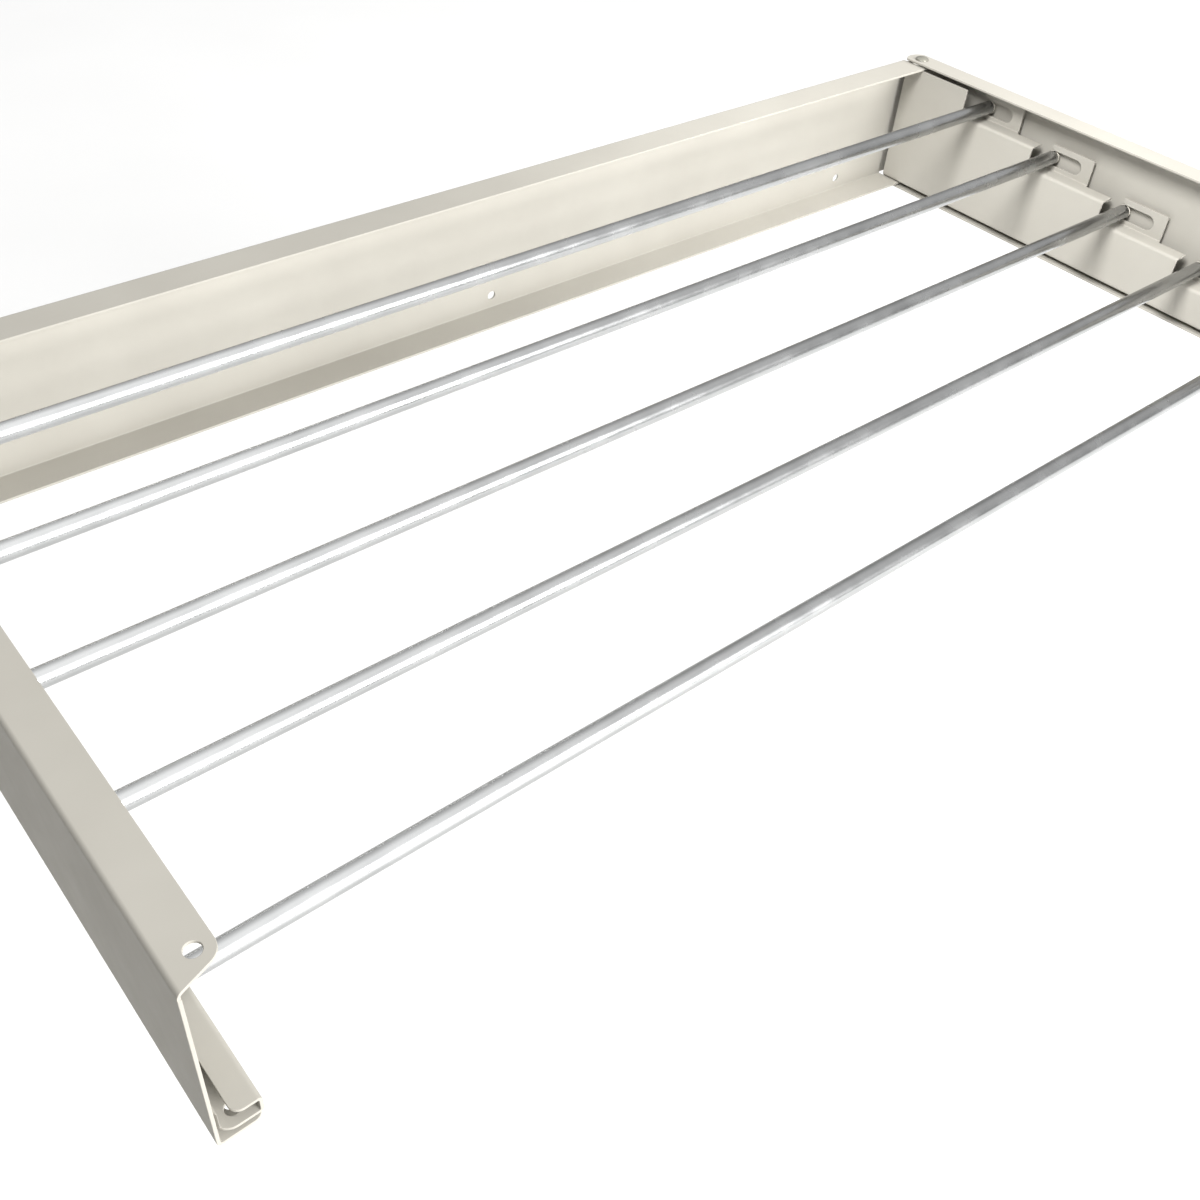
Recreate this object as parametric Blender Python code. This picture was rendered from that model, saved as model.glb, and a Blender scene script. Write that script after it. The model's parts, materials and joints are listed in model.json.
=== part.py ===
"""Wall-mounted drying rack whose two sheet-metal arms swing sideways with five round rods between them.

The back of the wall bracket lies on the plane Y = 0, the rack reaches towards -Y, and Z is up.
Each arm turns on a vertical axis through two rivets. Arm shapes are drawn in the arm's own frame:
its origin is on the hinge axis at half height, "out" points away from the rack's middle, and the
arm runs along -Y. The left arm is the right one mirrored, except for the insert that holds the rods.
"""

import math

import bmesh
import bpy
from mathutils import Matrix, Vector

MM = 0.001

# Driving dimensions
PIN_SPAN = 815 * MM  # between the two hinge axes
PIN_TO_WALL = 13.5 * MM
ARM_HEIGHT = 100 * MM
ARM_OUTER = 11.5 * MM  # hinge line to the outer face of an arm
ARM_INNER = 7.5 * MM  # hinge line to the free edges of its flanges
ARM_FRONT = 396 * MM  # hinge axis to the front end
FRONT_HOLE = 384 * MM  # hinge axis to the open front hole
FRONT_CORNER = 4 * MM  # radius of a flange's front corner
SHEET = 1.5 * MM
BEND = 0.7 * MM  # inside radius of a fold
FIT = 0.3 * MM  # gap between pieces that touch

ROD_RADIUS = 5 * MM
ROD_BORE = 4 * MM
ROD_TAIL = 6 * MM  # tube end beyond the hinge line
PLUG_END = 7.8 * MM  # plug end beyond the hinge line
PLUG_SHANK = 12 * MM
PLUG_EDGE = 0.5 * MM
TOP_TO_FIRST_ROD = 16 * MM
ROD_DROP = 15.2 * MM  # each rod hangs this much lower than the one behind it
FIRST_SLOT = 63 * MM
SLOT_PITCH = 67.5 * MM
ROD_SHIFT = [3 * MM, 0, 0, 0, 7 * MM]  # how far each rod sits forward in its slot

BRACKET_DEPTH = 22.8 * MM
FLANGE_END = 401.4 * MM  # half length of the bracket's flanges, without their ears
WEB_END = 413 * MM  # half length of its web
EAR_RADIUS = 9.3 * MM
SCREW_HOLE_RADIUS = 3 * MM
SCREW_HOLE_PITCH = 345 * MM
SCREW_HOLE_DROP = 37 * MM  # below half height

RIVET_RADIUS = 2.7 * MM
RIVET_HEAD = 5.2 * MM
RIVET_TAIL = 4.2 * MM
HEAD_HEIGHT = 2 * MM
TAIL_HEIGHT = 1.2 * MM
PIVOT_HOLE = 3 * MM
FRONT_HOLE_RADIUS = 3.2 * MM
WASHER_RADIUS = 7.2 * MM
WASHER_THICKNESS = 0.7 * MM

PLATE_OUT = -7 * MM  # middle of the insert's inner wall
TAB_OUT = 6.15 * MM  # middle of the wall that holds the rods
LIP_OUT = 8.95 * MM  # middle of the lip welded to the arm
LIP_TOP = -34 * MM
INSERT_HALF_HEIGHT = 45.2 * MM
INSERT_REAR = 7 * MM
STRIP_DROP = 8.5 * MM  # rod centre to the top of the strip under it
STEP_BACK = 10.5 * MM  # rod slot to the step behind it
SLOT_FRONT = 25.5 * MM
SLOT_HALF_HEIGHT = 5.4 * MM
TAB_FRONT = 34.4 * MM
TAB_RISE = 9.7 * MM
HOOK_CHAMFER = 1.5 * MM
EDGE_RECESS = 2.4 * MM
FLOOR_HOLE = (1.5 * MM, 389 * MM)  # outwards and forwards of the hinge axis
FLOOR_CORNER = 7 * MM
SHELF_CORNER = 4.5 * MM
RIVET_ROOM_OUT = -5 * MM  # where the floor's notch round the rivet starts
RIVET_ROOM_TOP = -39 * MM

ARC_STEPS = 6
FOLD_STEPS = 4
DOME_STEPS = 4
ROUND = 24
SMOOTH_ANGLE = math.radians(35)

# Worked out from them
HALF_SPAN = PIN_SPAN / 2
HALF_HEIGHT = ARM_HEIGHT / 2
WASHER_TOP = HALF_HEIGHT - SHEET - FIT
BRACKET_HALF = WASHER_TOP - WASHER_THICKNESS - FIT
SLOTS = [FIRST_SLOT + SLOT_PITCH * k for k in range(5)]
LEVELS = [HALF_HEIGHT - TOP_TO_FIRST_ROD - ROD_DROP * k for k in range(5)]
STRIPS = [level - STRIP_DROP for level in LEVELS]


# Materials


def material(name, colour, roughness, metallic):
    made = bpy.data.materials.new(name)
    made.use_nodes = True
    shader = made.node_tree.nodes["Principled BSDF"]
    shader.inputs["Base Color"].default_value = (*colour, 1)
    shader.inputs["Roughness"].default_value = roughness
    shader.inputs["Metallic"].default_value = metallic
    return made


# Outlines


def arc(centre, radius, start, end, steps=ARC_STEPS):
    """Points on a circle from one angle to another, in degrees."""
    angles = [math.radians(start + (end - start) * i / steps) for i in range(steps + 1)]
    return [(centre[0] + radius * math.cos(a), centre[1] + radius * math.sin(a)) for a in angles]


def tangent_angle(centre, radius, point, turn):
    """Angle in degrees at which the line from a point outside touches a circle."""
    away = Vector(point) - Vector(centre)
    return math.degrees(math.atan2(away.y, away.x) + turn * math.acos(radius / away.length))


def folded(corners, thickness=SHEET, bend=BEND):
    """Outline of a sheet whose middle line runs through the corners, with round right-angle folds."""
    corners = [Vector(corner) for corner in corners]
    runs = [(b - a).normalized() for a, b in zip(corners, corners[1:])]
    normals = [Vector((-run.y, run.x)) for run in runs]
    half = thickness / 2
    left, right = [corners[0] + normals[0] * half], [corners[0] - normals[0] * half]
    for corner, run, after, normal in zip(corners[1:-1], runs, runs[1:], normals):
        turn = 1 if run.x * after.y - run.y * after.x > 0 else -1
        centre = corner + (after - run) * (bend + half)
        start = math.degrees(math.atan2(-turn * normal.y, -turn * normal.x))
        for chain, radius in ((left, bend if turn > 0 else bend + thickness),
                              (right, bend + thickness if turn > 0 else bend)):
            chain += [Vector(point) for point in arc(centre, radius, start, start + 90 * turn, FOLD_STEPS)]
    left.append(corners[-1] + normals[-1] * half)
    right.append(corners[-1] - normals[-1] * half)
    return [tuple(point) for point in left + right[::-1]]


# Solids


def new_object(name, mesh_data, smooth=False):
    mesh = bpy.data.meshes.new(name)
    bmesh.ops.recalc_face_normals(mesh_data, faces=mesh_data.faces)
    mesh_data.to_mesh(mesh)
    mesh_data.free()
    if smooth:
        mesh.shade_smooth()
        mesh.set_sharp_from_angle(angle=SMOOTH_ANGLE)
    made = bpy.data.objects.new(name, mesh)
    bpy.context.scene.collection.objects.link(made)
    return made


def prism(name, outline, axis, start, end):
    """The outline extruded along X, Y or Z; its points hold the other two coordinates, in X, Y, Z order."""
    place = {
        "X": lambda a, b: (start, a, b),
        "Y": lambda a, b: (a, start, b),
        "Z": lambda a, b: (a, b, start),
    }[axis]
    mesh_data = bmesh.new()
    face = mesh_data.faces.new([mesh_data.verts.new(place(a, b)) for a, b in outline])
    grown = bmesh.ops.extrude_face_region(mesh_data, geom=[face])["geom"]
    along = Vector([end - start if axis == letter else 0 for letter in "XYZ"])
    verts = [item for item in grown if isinstance(item, bmesh.types.BMVert)]
    bmesh.ops.translate(mesh_data, verts=verts, vec=along)
    return new_object(name, mesh_data)


def turned(name, profile, steps=ROUND):
    """A closed profile of (radius, height) pairs spun round the Z axis."""
    mesh_data = bmesh.new()
    verts = [mesh_data.verts.new((radius, 0, height)) for radius, height in profile]
    closed = profile[0][0] > 0
    ends = verts[1:] + verts[:1] if closed else verts[1:]
    edges = [mesh_data.edges.new(pair) for pair in zip(verts, ends)]
    bmesh.ops.spin(mesh_data, geom=verts + edges, cent=(0, 0, 0), axis=(0, 0, 1),
                   angle=math.tau, steps=steps, use_merge=True)
    bmesh.ops.remove_doubles(mesh_data, verts=mesh_data.verts, dist=0.001 * MM)
    return new_object(name, mesh_data, smooth=True)


def boolean(target, tool, operation):
    modifier = target.modifiers.new(tool.name, "BOOLEAN")
    modifier.operation = operation
    modifier.object = tool
    tool.hide_render = True
    tool.display_type = "WIRE"
    tool.parent = target


def circle(centre, radius):
    return arc(centre, radius, 0, 360, ROUND)[:-1]


def cut(target, name, outline, axis, low, high):
    boolean(target, prism(name, outline, axis, low, high), "DIFFERENCE")


def cut_block(target, name, low, high):
    outline = [(low[0], low[1]), (high[0], low[1]), (high[0], high[1]), (low[0], high[1])]
    cut(target, name, outline, "Z", low[2], high[2])


# Wall bracket


def wall_bracket(finish):
    flange = BRACKET_HALF - SHEET / 2
    web = -SHEET / 2
    profile = folded([(-BRACKET_DEPTH, flange), (web, flange), (web, -flange), (-BRACKET_DEPTH, -flange)])
    reach = HALF_SPAN + EAR_RADIUS
    bracket = prism("wall_bracket", profile, "X", -reach, reach)
    bracket.data.materials.append(finish)

    angle = math.degrees(math.acos((FLANGE_END - HALF_SPAN) / EAR_RADIUS))
    ear = [(WEB_END, MM), (WEB_END, -2 * SHEET), (FLANGE_END, -2 * SHEET)]
    ear += arc((HALF_SPAN, -PIN_TO_WALL), EAR_RADIUS, angle, -90, 2 * ARC_STEPS)
    plan = ear + [(-x, y) for x, y in ear[::-1]]
    boolean(bracket, prism("bracket_plan", plan, "Z", -ARM_HEIGHT, ARM_HEIGHT), "INTERSECT")
    notch = BRACKET_HALF - SHEET - 1.5 * BEND
    for number, (side, height) in enumerate(((-1, -1), (-1, 1), (1, -1), (1, 1)), 1):
        xs = sorted((side * FLANGE_END, side * PIN_SPAN))
        zs = sorted((height * notch, height * HALF_HEIGHT))
        cut_block(bracket, f"flange_notch_{number}", (xs[0], -2.4 * SHEET, zs[0]), (xs[1], MM, zs[1]))
    for side in (-1, 1):
        hole = circle((side * HALF_SPAN, -PIN_TO_WALL), PIVOT_HOLE)
        cut(bracket, f"bracket_pivot_hole_{side}", hole, "Z", -ARM_HEIGHT, ARM_HEIGHT)
    for place in (-1, 0, 1):
        hole = circle((place * SCREW_HOLE_PITCH, -SCREW_HOLE_DROP), SCREW_HOLE_RADIUS)
        cut(bracket, f"screw_hole_{place}", hole, "Y", -3 * SHEET, 3 * SHEET)


# Arms


def arm_channel(name, finish):
    """C-shaped arm, open towards the rods, with round flange ends over the hinge and at the front."""
    flange = HALF_HEIGHT - SHEET / 2
    web = ARM_OUTER - SHEET / 2
    profile = folded([(-ARM_INNER, flange), (web, flange), (web, -flange), (-ARM_INNER, -flange)])
    arm = prism(name, profile, "Y", ARM_OUTER, -ARM_FRONT)
    arm.data.materials.append(finish)

    rear = math.degrees(math.acos(-ARM_INNER / ARM_OUTER))
    plan = arc((0, 0), ARM_OUTER, 0, rear, 2 * ARC_STEPS)
    corner = (-ARM_INNER + FRONT_CORNER, -ARM_FRONT + FRONT_CORNER)
    plan += arc(corner, FRONT_CORNER, 180, 270)
    plan += [(ARM_OUTER + MM, -ARM_FRONT), (ARM_OUTER + MM, 0)]
    boolean(arm, prism(f"{name}_plan", plan, "Z", -ARM_HEIGHT, ARM_HEIGHT), "INTERSECT")

    tip = (ARM_OUTER, -ARM_FRONT)
    touch = tangent_angle((0, -FRONT_HOLE), ARM_INNER, tip, -1)
    nose = arc((0, -FRONT_HOLE), ARM_INNER, -180, touch, 2 * ARC_STEPS) + [tip]
    nose += [(ARM_OUTER, -ARM_FRONT - MM), (-ARM_INNER - MM, -ARM_FRONT - MM), (-ARM_INNER - MM, -FRONT_HOLE)]
    cut(arm, f"{name}_nose", nose, "Z", HALF_HEIGHT - 2 * SHEET, ARM_HEIGHT)

    cut(arm, f"{name}_pivot_hole", circle((0, 0), PIVOT_HOLE), "Z", -ARM_HEIGHT, ARM_HEIGHT)
    front_hole = circle((0, -FRONT_HOLE), FRONT_HOLE_RADIUS)
    cut(arm, f"{name}_front_hole", front_hole, "Z", -ARM_HEIGHT, ARM_HEIGHT)
    return arm


def round_corner(insert, name, outer, radius, low):
    """Rounds the front corner of the sheets above a height, up to half height."""
    beyond = (outer + MM, -ARM_FRONT - MM)
    outline = arc((outer - radius, -ARM_FRONT + radius), radius, 0, -90)
    outline += [(outer - radius, beyond[1]), beyond, (beyond[0], -ARM_FRONT + radius)]
    cut(insert, name, outline, "Z", low, 0)


def trim_insert(insert):
    """Clears the insert's floor round the rivet and its lip at the hinge, and finishes its front end."""
    name = insert.name
    clear = INSERT_REAR + MM
    low = (RIVET_ROOM_OUT, -clear, -HALF_HEIGHT)
    cut_block(insert, f"{name}_rivet_room", low, (ARM_OUTER, clear, RIVET_ROOM_TOP))
    low = (TAB_OUT + SHEET, -2 * clear, -HALF_HEIGHT)
    cut_block(insert, f"{name}_lip_end", low, (ARM_OUTER, clear, HALF_HEIGHT))

    floor_hole = circle((FLOOR_HOLE[0], -FLOOR_HOLE[1]), PIVOT_HOLE)
    cut(insert, f"{name}_floor_hole", floor_hole, "Z", -HALF_HEIGHT, RIVET_ROOM_TOP)
    round_corner(insert, f"{name}_floor_corner", LIP_OUT + SHEET / 2, FLOOR_CORNER, -HALF_HEIGHT)
    shelf = STRIPS[-1] - 3 * SHEET
    round_corner(insert, f"{name}_shelf_corner", TAB_OUT - EDGE_RECESS, SHELF_CORNER, shelf)


def recess_edge(insert, number, start, end, strip):
    """Sets the strip's free edge back where no tab rises from it."""
    low = (TAB_OUT - EDGE_RECESS, end, strip - 3 * SHEET)
    cut_block(insert, f"{insert.name}_recess_{number}", low, (TAB_OUT + SHEET, start, HALF_HEIGHT))


def hook_slot(start, slot, level):
    """What is cut from a tab: its slot, which is open towards the wall, and the room behind its hook."""
    low, high = level - SLOT_HALF_HEIGHT, level + SLOT_HALF_HEIGHT
    beyond = level + TAB_RISE + MM
    hook_end = -slot + HOOK_CHAMFER
    outline = arc((SLOT_HALF_HEIGHT - slot - SLOT_FRONT, level), SLOT_HALF_HEIGHT, 270, 90, 2 * ARC_STEPS)
    outline += [(-slot, high), (hook_end, high + HOOK_CHAMFER), (hook_end, beyond)]
    return outline + [(start + MM, beyond), (start + MM, low)]


def stepped_insert(name, finish):
    """Right insert: an inner wall that steps down towards the front, with a hooked tab above each step."""
    floor = -INSERT_HALF_HEIGHT + SHEET / 2
    wall = folded([(LIP_OUT, LIP_TOP), (LIP_OUT, floor), (PLATE_OUT, floor), (PLATE_OUT, INSERT_HALF_HEIGHT)])
    insert = prism(name, wall, "Y", INSERT_REAR, -ARM_FRONT)
    insert.data.materials.append(finish)

    steps = [STEP_BACK - slot for slot in SLOTS] + [-ARM_FRONT - MM]
    overlap = BEND + SHEET
    stairs = [(steps[0], HALF_HEIGHT)]
    for start, end, strip in zip(steps, steps[1:], STRIPS):
        stairs += [(start, strip - overlap), (end, strip - overlap)]
    stairs.append((steps[-1], HALF_HEIGHT))
    cut(insert, f"{name}_stairs", stairs, "X", PLATE_OUT - SHEET, PLATE_OUT + SHEET)

    runs = zip(steps, steps[1:], SLOTS, LEVELS, STRIPS)
    for number, (start, end, slot, level, strip) in enumerate(runs, 1):
        middle = strip - SHEET / 2
        top = level + TAB_RISE
        end = max(end, -ARM_FRONT)
        shelf = [(PLATE_OUT, strip - 2 * overlap), (PLATE_OUT, middle), (TAB_OUT, middle), (TAB_OUT, top)]
        boolean(insert, prism(f"{name}_shelf_{number}", folded(shelf), "Y", start, end), "UNION")
        opening = hook_slot(start, slot, level)
        cut(insert, f"{name}_slot_{number}", opening, "X", TAB_OUT - SHEET, TAB_OUT + SHEET)
        recess_edge(insert, number, -slot - TAB_FRONT, end - MM, strip)
    trim_insert(insert)
    return insert


def slotted_insert(name, finish):
    """Left insert: a low rail whose outer wall rises behind the rods, so that they can swing back over it."""
    floor = -INSERT_HALF_HEIGHT + SHEET / 2
    rail = STRIPS[-1] - SHEET / 2
    top = LEVELS[0] + TAB_RISE
    wall = folded([(LIP_OUT, LIP_TOP), (LIP_OUT, floor), (PLATE_OUT, floor), (PLATE_OUT, rail),
                   (TAB_OUT, rail), (TAB_OUT, top)])
    insert = prism(name, wall, "Y", INSERT_REAR, -ARM_FRONT)
    insert.data.materials.append(finish)

    low = rail + SHEET + BEND
    stairs = [(INSERT_REAR + MM, low), (STEP_BACK - SLOTS[0], low)]
    for slot, level in zip(SLOTS, LEVELS):
        stairs += [(stairs[-1][0], level + TAB_RISE), (-slot - TAB_FRONT, level + TAB_RISE)]
    stairs += [(stairs[-1][0], low), (-ARM_FRONT - MM, low)]
    stairs += [(-ARM_FRONT - MM, HALF_HEIGHT), (INSERT_REAR + MM, HALF_HEIGHT)]
    cut(insert, f"{name}_stairs", stairs, "X", TAB_OUT - SHEET, TAB_OUT + SHEET)

    for number, (slot, level) in enumerate(zip(SLOTS, LEVELS), 1):
        front, back = SLOT_HALF_HEIGHT - slot - SLOT_FRONT, -slot
        opening = arc((front, level), SLOT_HALF_HEIGHT, 270, 90, 2 * ARC_STEPS)
        opening += arc((back, level), SLOT_HALF_HEIGHT, 90, -90, 2 * ARC_STEPS)
        cut(insert, f"{name}_slot_{number}", opening, "X", TAB_OUT - SHEET, TAB_OUT + SHEET)
    recess_edge(insert, 1, -SLOTS[-1] - TAB_FRONT, -ARM_FRONT - MM, STRIPS[-1])
    trim_insert(insert)
    return insert


# Hinges


def rivet(name, finish):
    """Domed head above the arm's flange, shank through arm, washer and bracket, and a flat tail."""
    head = HALF_HEIGHT + FIT
    tail = BRACKET_HALF - SHEET - FIT
    dome = [(RIVET_HEAD * math.cos(a), head + HEAD_HEIGHT * math.sin(a))
            for a in (math.pi / 2 * i / DOME_STEPS for i in range(DOME_STEPS))]
    profile = [(0, tail - TAIL_HEIGHT), (RIVET_TAIL, tail - TAIL_HEIGHT), (RIVET_TAIL, tail)]
    profile += [(RIVET_RADIUS, tail), (RIVET_RADIUS, head), *dome, (0, head + HEAD_HEIGHT)]
    made = turned(name, profile)
    made.data.materials.append(finish)
    return made


def washer(name, finish):
    low, high = WASHER_TOP - WASHER_THICKNESS, WASHER_TOP
    made = turned(name, [(PIVOT_HOLE, low), (WASHER_RADIUS, low), (WASHER_RADIUS, high), (PIVOT_HOLE, high)])
    made.data.materials.append(finish)
    return made


# Rods


def rod(name, finish):
    """A tube along Z, centred on the middle of the rack."""
    reach = HALF_SPAN + ROD_TAIL
    made = turned(name, [(ROD_BORE, -reach), (ROD_RADIUS, -reach), (ROD_RADIUS, reach), (ROD_BORE, reach)])
    made.data.materials.append(finish)
    return made


def plug(name, finish):
    """End plug along Z: a thin cap with a rounded edge and a shank inside the tube."""
    face = HALF_SPAN + ROD_TAIL + FIT
    end = HALF_SPAN + PLUG_END
    shank = ROD_BORE - FIT
    edge = arc((ROD_RADIUS - PLUG_EDGE, end - PLUG_EDGE), PLUG_EDGE, 0, 90, 2)
    profile = [(0, face - PLUG_SHANK), (shank, face - PLUG_SHANK), (shank, face), (ROD_RADIUS, face)]
    made = turned(name, profile + [*edge, (0, end)])
    made.data.materials.append(finish)
    return made


def pivot(name, location):
    """An empty on a joint's axis, which carries the pieces that turn there."""
    made = bpy.data.objects.new(name, None)
    made.location = location
    bpy.context.scene.collection.objects.link(made)
    return made


def mirror_sideways(target):
    """Turns a right-hand piece into its left-hand twin, tools included."""
    for item in [target, *target.children]:
        item.data.transform(Matrix.Scale(-1, 4, (1, 0, 0)))
        item.data.flip_normals()


def main():
    for item in list(bpy.data.objects):
        bpy.data.objects.remove(item)

    coat = material("powder_coat", (0.72, 0.69, 0.62), 0.45, 0)
    inner_coat = material("powder_coat_inner", (0.70, 0.67, 0.60), 0.5, 0)
    aluminium = material("polished_aluminium", (0.80, 0.81, 0.82), 0.25, 1)
    cap = material("cream_plastic", (0.80, 0.77, 0.70), 0.4, 0)
    steel = material("painted_rivet", (0.42, 0.41, 0.36), 0.4, 0.3)
    nylon = material("nylon", (0.75, 0.74, 0.70), 0.5, 0)

    wall_bracket(coat)
    for hand, side, make_insert in (("right", 1, stepped_insert), ("left", -1, slotted_insert)):
        hinge = pivot(f"{hand}_hinge", (side * HALF_SPAN, -PIN_TO_WALL, 0))
        insert_name = "right_stepped_insert" if side > 0 else "left_slotted_insert"
        for piece in (arm_channel(f"{hand}_arm_channel", coat), make_insert(insert_name, inner_coat)):
            if side < 0:
                mirror_sideways(piece)
            piece.parent = hinge
        for end, turn in (("upper", 0), ("lower", math.pi)):
            for piece in (rivet(f"{hand}_{end}_rivet", steel), washer(f"{hand}_{end}_washer", nylon)):
                piece.location = hinge.location
                piece.rotation_euler.x = turn

    for number, (slot, shift, level) in enumerate(zip(SLOTS, ROD_SHIFT, LEVELS), 1):
        centre = pivot(f"rod_{number}_pivot", (HALF_SPAN, -PIN_TO_WALL - slot - shift, level))
        pieces = [(rod(f"rod_{number}", aluminium), 1), (plug(f"rod_{number}_right_plug", cap), 1)]
        pieces.append((plug(f"rod_{number}_left_plug", cap), -1))
        for piece, side in pieces:
            piece.rotation_euler.y = side * math.pi / 2
            piece.location.x = -HALF_SPAN
            piece.parent = centre


main()
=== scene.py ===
"""Looks for the wall-mounted drying rack: powder-coated sheet, polished rods, plastic plugs and rivets.

Each CAD node is stood for by a finer copy of its own mesh, with rounded sheet edges and smooth folds.
"""

import json
import math

import bmesh
import bpy
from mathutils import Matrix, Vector

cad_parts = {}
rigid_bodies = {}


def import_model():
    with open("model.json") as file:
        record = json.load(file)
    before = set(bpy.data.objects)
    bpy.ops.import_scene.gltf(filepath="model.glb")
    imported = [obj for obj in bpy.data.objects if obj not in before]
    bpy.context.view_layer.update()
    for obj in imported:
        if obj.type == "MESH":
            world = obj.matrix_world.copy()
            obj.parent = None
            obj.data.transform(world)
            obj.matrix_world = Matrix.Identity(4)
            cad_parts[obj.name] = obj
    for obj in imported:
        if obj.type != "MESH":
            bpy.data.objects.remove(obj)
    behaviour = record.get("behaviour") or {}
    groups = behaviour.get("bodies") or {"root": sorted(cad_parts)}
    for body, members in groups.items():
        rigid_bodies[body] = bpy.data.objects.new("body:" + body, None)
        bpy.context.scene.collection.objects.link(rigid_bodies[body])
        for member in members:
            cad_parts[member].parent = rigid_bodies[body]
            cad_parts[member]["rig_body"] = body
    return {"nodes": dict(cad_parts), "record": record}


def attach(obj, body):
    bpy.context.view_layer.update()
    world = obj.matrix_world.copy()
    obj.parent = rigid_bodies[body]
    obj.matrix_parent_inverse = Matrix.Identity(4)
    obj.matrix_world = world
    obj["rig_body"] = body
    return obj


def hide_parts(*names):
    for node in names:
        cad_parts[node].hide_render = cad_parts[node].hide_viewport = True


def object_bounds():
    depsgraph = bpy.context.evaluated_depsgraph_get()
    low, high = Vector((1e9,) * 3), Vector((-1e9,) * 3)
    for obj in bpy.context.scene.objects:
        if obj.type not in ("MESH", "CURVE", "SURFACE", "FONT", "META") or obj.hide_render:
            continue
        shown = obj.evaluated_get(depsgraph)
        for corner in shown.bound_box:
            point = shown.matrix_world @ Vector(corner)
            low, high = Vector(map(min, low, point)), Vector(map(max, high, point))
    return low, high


MM = 0.001

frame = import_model()
cad_low, cad_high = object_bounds()

FLOOR_DROP = 350 * MM  # the floor lies this far below the rack
FLOOR_REACH = 40  # metres to each side of the rack
SHADE_START, SHADE_END = -0.6, -1.4  # the floor turns greyer between these two places along X
MERGE_DISTANCE = 0.002 * MM  # corners closer than this are one corner
FLAT_ANGLE = math.radians(0.5)  # triangles that differ by less become one face
EDGE_ANGLE = math.radians(32)  # sharper edges are rounded
SMOOTH_ANGLE = math.radians(38)  # sharper edges stay sharp in shading
SHEET_EDGE = 0.2 * MM  # width of the rounding on a coated sheet's cut edges
TUBE_EDGE = 0.15 * MM
SMALL_EDGE = 0.1 * MM
ROUNDING_STEPS = 2
FLAT_FACE_WEIGHT = 80  # how much large faces count in the normals, so that only the edges look round


# Node helpers


def new_material(name):
    made = bpy.data.materials.new(name)
    made.use_nodes = True
    nodes, links = made.node_tree.nodes, made.node_tree.links
    return made, nodes, links, nodes["Principled BSDF"]


def add(nodes, kind, **settings):
    node = nodes.new(kind)
    for key, value in settings.items():
        setattr(node, key, value)
    return node


def noise(nodes, links, scale, detail, stretch=None, roughness=0.5):
    """Noise over the piece's own coordinates, in metres, so that it moves with the piece."""
    place = add(nodes, "ShaderNodeTexCoord")
    texture = add(nodes, "ShaderNodeTexNoise")
    texture.inputs["Scale"].default_value = scale
    texture.inputs["Detail"].default_value = detail
    texture.inputs["Roughness"].default_value = roughness
    source = place.outputs["Object"]
    if stretch:
        mapping = add(nodes, "ShaderNodeMapping")
        mapping.inputs["Scale"].default_value = stretch
        links.new(source, mapping.inputs["Vector"])
        source = mapping.outputs["Vector"]
    links.new(source, texture.inputs["Vector"])
    return texture.outputs["Fac"]


def ramp(nodes, links, source, low, high, start=0.3, end=0.7, blend="LINEAR"):
    """Maps start to end, by default the middle of a noise, onto a range of numbers or of colours."""
    if isinstance(low, tuple):
        node = add(nodes, "ShaderNodeValToRGB")
        node.color_ramp.elements[0].position, node.color_ramp.elements[1].position = start, end
        node.color_ramp.elements[0].color, node.color_ramp.elements[1].color = (*low, 1), (*high, 1)
        links.new(source, node.inputs["Fac"])
        return node.outputs["Color"]
    node = add(nodes, "ShaderNodeMapRange", interpolation_type=blend)
    for socket, value in zip(("From Min", "From Max", "To Min", "To Max"), (start, end, low, high)):
        node.inputs[socket].default_value = value
    links.new(source, node.inputs["Value"])
    return node.outputs["Result"]


def bump(nodes, links, layers):
    """Stacks height layers, each (height, strength, depth in metres), into one normal."""
    last = None
    for height, strength, depth in layers:
        node = add(nodes, "ShaderNodeBump")
        node.inputs["Strength"].default_value = strength
        node.inputs["Distance"].default_value = depth
        links.new(height, node.inputs["Height"])
        if last:
            links.new(last, node.inputs["Normal"])
        last = node.outputs["Normal"]
    return last


# Materials


def powder_coat(name, dark, light):
    """Satin powder coat: orange peel, a fine grain, faint dust and handling marks."""
    made, nodes, links, shader = new_material(name)
    cloud = noise(nodes, links, scale=14, detail=4)
    links.new(ramp(nodes, links, cloud, dark, light), shader.inputs["Base Color"])
    wiped = noise(nodes, links, scale=60, detail=5, roughness=0.65)
    links.new(ramp(nodes, links, wiped, 0.52, 0.68), shader.inputs["Roughness"])
    peel = noise(nodes, links, scale=900, detail=2)
    grain = noise(nodes, links, scale=4500, detail=2)
    relief = bump(nodes, links, [(peel, 0.25, 0.03 * MM), (grain, 0.2, 0.01 * MM)])
    links.new(relief, shader.inputs["Normal"])
    shader.inputs["Specular IOR Level"].default_value = 0.06
    return made


def drawn_aluminium(name, dark, light):
    """Polished drawn tube: fine lines along its length, and faint cloudy patches of handling."""
    made, nodes, links, shader = new_material(name)
    shader.inputs["Metallic"].default_value = 1
    lines = noise(nodes, links, scale=1, detail=3, stretch=(6, 2600, 2600))
    cloud = noise(nodes, links, scale=45, detail=4)
    links.new(ramp(nodes, links, cloud, dark, light), shader.inputs["Base Color"])
    links.new(ramp(nodes, links, cloud, 0.22, 0.3), shader.inputs["Roughness"])
    scuffs = noise(nodes, links, scale=1, detail=4, stretch=(90, 900, 900))
    relief = bump(nodes, links, [(lines, 0.06, 0.01 * MM), (scuffs, 0.02, 0.01 * MM)])
    links.new(relief, shader.inputs["Normal"])
    return made


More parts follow.
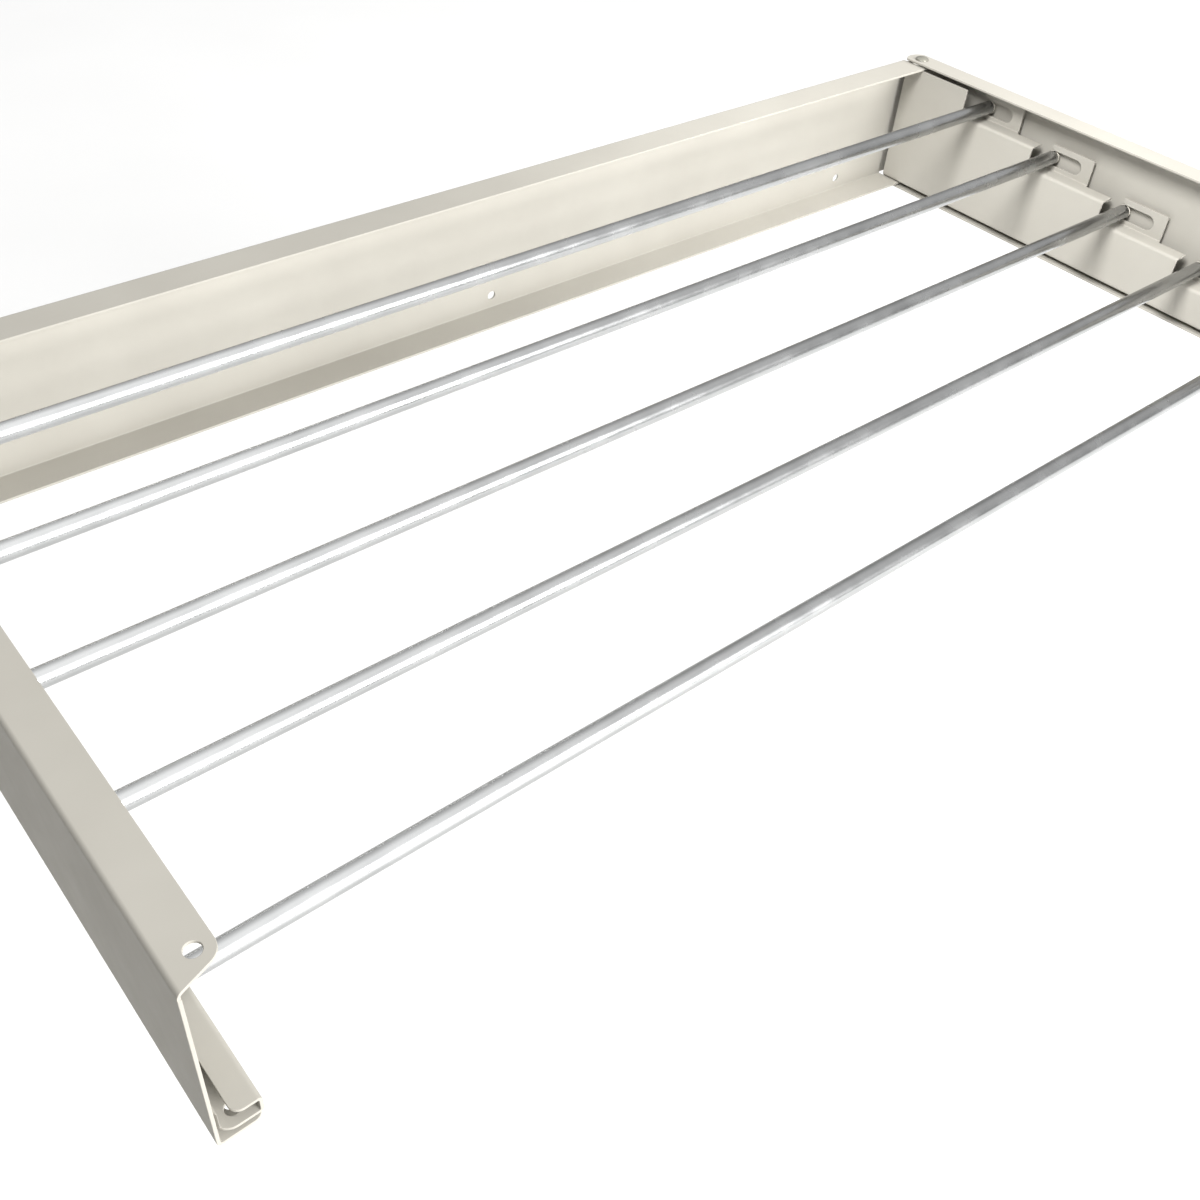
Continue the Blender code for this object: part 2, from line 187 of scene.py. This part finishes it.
def moulded_plastic(name, dark, light, glossy, dull):
    """Plastic from a mould with a fine grain."""
    made, nodes, links, shader = new_material(name)
    cloud = noise(nodes, links, scale=120, detail=3)
    links.new(ramp(nodes, links, cloud, dark, light), shader.inputs["Base Color"])
    patches = noise(nodes, links, scale=700, detail=3)
    links.new(ramp(nodes, links, patches, glossy, dull), shader.inputs["Roughness"])
    grain = noise(nodes, links, scale=3500, detail=2)
    links.new(bump(nodes, links, [(grain, 0.3, 0.02 * MM)]), shader.inputs["Normal"])
    return made


def coated_rivet(name, dark, light):
    """Dull coated steel, rubbed brighter in patches."""
    made, nodes, links, shader = new_material(name)
    rub = noise(nodes, links, scale=420, detail=5, roughness=0.7)
    links.new(ramp(nodes, links, rub, dark, light), shader.inputs["Base Color"])
    links.new(ramp(nodes, links, rub, 0.55, 0.28), shader.inputs["Roughness"])
    shader.inputs["Metallic"].default_value = 0.3
    grain = noise(nodes, links, scale=1800, detail=3)
    links.new(bump(nodes, links, [(grain, 0.3, 0.02 * MM)]), shader.inputs["Normal"])
    return made


# Pieces


def refine(node, slot, finish, edge):
    """A copy of a CAD node with its triangles joined into flat faces and its edges rounded."""
    source = frame["nodes"][node]
    mesh_data = bmesh.new()
    mesh_data.from_mesh(source.data)
    bmesh.ops.remove_doubles(mesh_data, verts=mesh_data.verts, dist=MERGE_DISTANCE)
    bmesh.ops.dissolve_limit(mesh_data, angle_limit=FLAT_ANGLE, verts=mesh_data.verts,
                             edges=mesh_data.edges)
    mesh = bpy.data.meshes.new(node + "_fine")
    mesh_data.to_mesh(mesh)
    mesh_data.free()
    if "custom_normal" in mesh.attributes:
        mesh.attributes.remove(mesh.attributes["custom_normal"])
    mesh.materials.clear()
    mesh.materials.append(finish)
    piece = bpy.data.objects.new(node + "_fine", mesh)
    bpy.context.scene.collection.objects.link(piece)
    mesh.shade_smooth()
    if edge:
        rounding = piece.modifiers.new("edges", "BEVEL")
        rounding.width = edge
        rounding.segments = ROUNDING_STEPS
        rounding.limit_method = "ANGLE"
        rounding.angle_limit = EDGE_ANGLE
        rounding.use_clamp_overlap = False
    weights = piece.modifiers.new("normals", "WEIGHTED_NORMAL")
    weights.keep_sharp = True
    weights.weight = FLAT_FACE_WEIGHT
    mesh.set_sharp_from_angle(angle=SMOOTH_ANGLE)
    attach(piece, source["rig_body"])
    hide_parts(node)


# Stage


def floor(centre, height):
    """A wide pale floor with a soft rise and fall in tone, and a little greyer on the far left."""
    mesh_data = bmesh.new()
    corners = [(centre.x + x * FLOOR_REACH, centre.y + y * FLOOR_REACH, height)
               for x, y in ((-1, -1), (1, -1), (1, 1), (-1, 1))]
    mesh_data.faces.new([mesh_data.verts.new(corner) for corner in corners])
    mesh = bpy.data.meshes.new("floor")
    mesh_data.to_mesh(mesh)
    mesh_data.free()
    made, nodes, links, shader = new_material("floor_paint")
    tone = noise(nodes, links, scale=3, detail=2)
    cloud = ramp(nodes, links, tone, (0.79, 0.79, 0.785), (0.81, 0.81, 0.805))
    place = add(nodes, "ShaderNodeSeparateXYZ")
    links.new(add(nodes, "ShaderNodeTexCoord").outputs["Object"], place.inputs["Vector"])
    fall = ramp(nodes, links, place.outputs["X"], 0.75, 1, SHADE_END, SHADE_START)
    shade = add(nodes, "ShaderNodeVectorMath", operation="SCALE")
    links.new(cloud, shade.inputs["Vector"])
    links.new(fall, shade.inputs["Scale"])
    links.new(shade.outputs["Vector"], shader.inputs["Base Color"])
    shader.inputs["Roughness"].default_value = 0.8
    mesh.materials.append(made)
    plane = bpy.data.objects.new("floor", mesh)
    bpy.context.scene.collection.objects.link(plane)


def area_light(name, location, target, size, power, spread=math.pi):
    light = bpy.data.lights.new(name, "AREA")
    light.shape = "SQUARE"
    light.size = size
    light.energy = power
    light.spread = spread
    made = bpy.data.objects.new(name, light)
    made.location = location
    made.rotation_euler = (Vector(location) - Vector(target)).to_track_quat("Z", "Y").to_euler()
    bpy.context.scene.collection.objects.link(made)


def studio_world():
    """A soft white dome: bright overhead, and dimmer at the horizon, at the rack's sides and behind it."""
    world = bpy.data.worlds.new("studio")
    world.use_nodes = True
    nodes, links = world.node_tree.nodes, world.node_tree.links
    place = add(nodes, "ShaderNodeTexCoord")
    axes = add(nodes, "ShaderNodeSeparateXYZ")
    links.new(place.outputs["Generated"], axes.inputs["Vector"])
    strength = ramp(nodes, links, axes.outputs["Z"], 0.78, 2.2, 0, 1)
    slopes = (("X", 0.18, 1, -0.7, 0.15), ("X", 1, 0.45, 0.2, 0.75), ("Y", 1, 0.7, -0.1, 0.8))
    for axis, low, high, start, end in slopes:
        product = add(nodes, "ShaderNodeMath", operation="MULTIPLY")
        links.new(strength, product.inputs[0])
        slope = ramp(nodes, links, axes.outputs[axis], low, high, start, end, "SMOOTHSTEP")
        links.new(slope, product.inputs[1])
        strength = product.outputs["Value"]
    links.new(strength, nodes["Background"].inputs["Strength"])
    nodes["Background"].inputs["Color"].default_value = (1, 1, 1, 1)
    bpy.context.scene.world = world


def camera():
    """Stands to the left of the rack and looks down across it."""
    lens = bpy.data.cameras.new("camera")
    lens.sensor_width = 36
    lens.lens = 39
    lens.shift_x, lens.shift_y = 0.0158, -0.0032
    lens.clip_start = 0.01
    made = bpy.data.objects.new("camera", lens)
    made.location = (-0.4728, -0.6331, 0.4092)
    made.rotation_euler = [math.radians(angle) for angle in (47.62, -3.54, -39.226)]
    bpy.context.scene.collection.objects.link(made)
    bpy.context.scene.camera = made


# Build

coat = powder_coat("powder_coat_finish", (0.36, 0.344, 0.306), (0.39, 0.374, 0.334))
aluminium = drawn_aluminium("drawn_aluminium_finish", (0.37, 0.375, 0.375), (0.43, 0.435, 0.435))
plug = moulded_plastic("plug_finish", (0.66, 0.63, 0.56), (0.72, 0.69, 0.62), 0.35, 0.5)
nylon = moulded_plastic("nylon_finish", (0.6, 0.59, 0.55), (0.68, 0.67, 0.63), 0.4, 0.55)
rivet = coated_rivet("coated_rivet_finish", (0.15, 0.145, 0.12), (0.27, 0.26, 0.22))
LOOKS = {
    "powder_coat": (coat, SHEET_EDGE),
    "insert_coat": (coat, SHEET_EDGE),
    "rod_aluminium": (aluminium, TUBE_EDGE),
    "plug_plastic": (plug, None),
    "rivet_steel": (rivet, SMALL_EDGE),
    "washer_nylon": (nylon, SMALL_EDGE),
}
for subpart in frame["record"]["subparts"]:
    slot = subpart["material_slot"]
    refine(subpart["node"], slot, *LOOKS[slot])

middle = (Vector(cad_low) + Vector(cad_high)) / 2
floor(middle, cad_low[2] - FLOOR_DROP)
camera()
area_light("key", (0.6, -3.1, 1.15), middle, size=1.7, power=190)
area_light("fill", (-0.2, -0.28, 0.62), (0.42, -0.22, 0), size=0.3, power=1.4, spread=math.radians(60))
studio_world()
bpy.context.scene.view_settings.view_transform = "Standard"
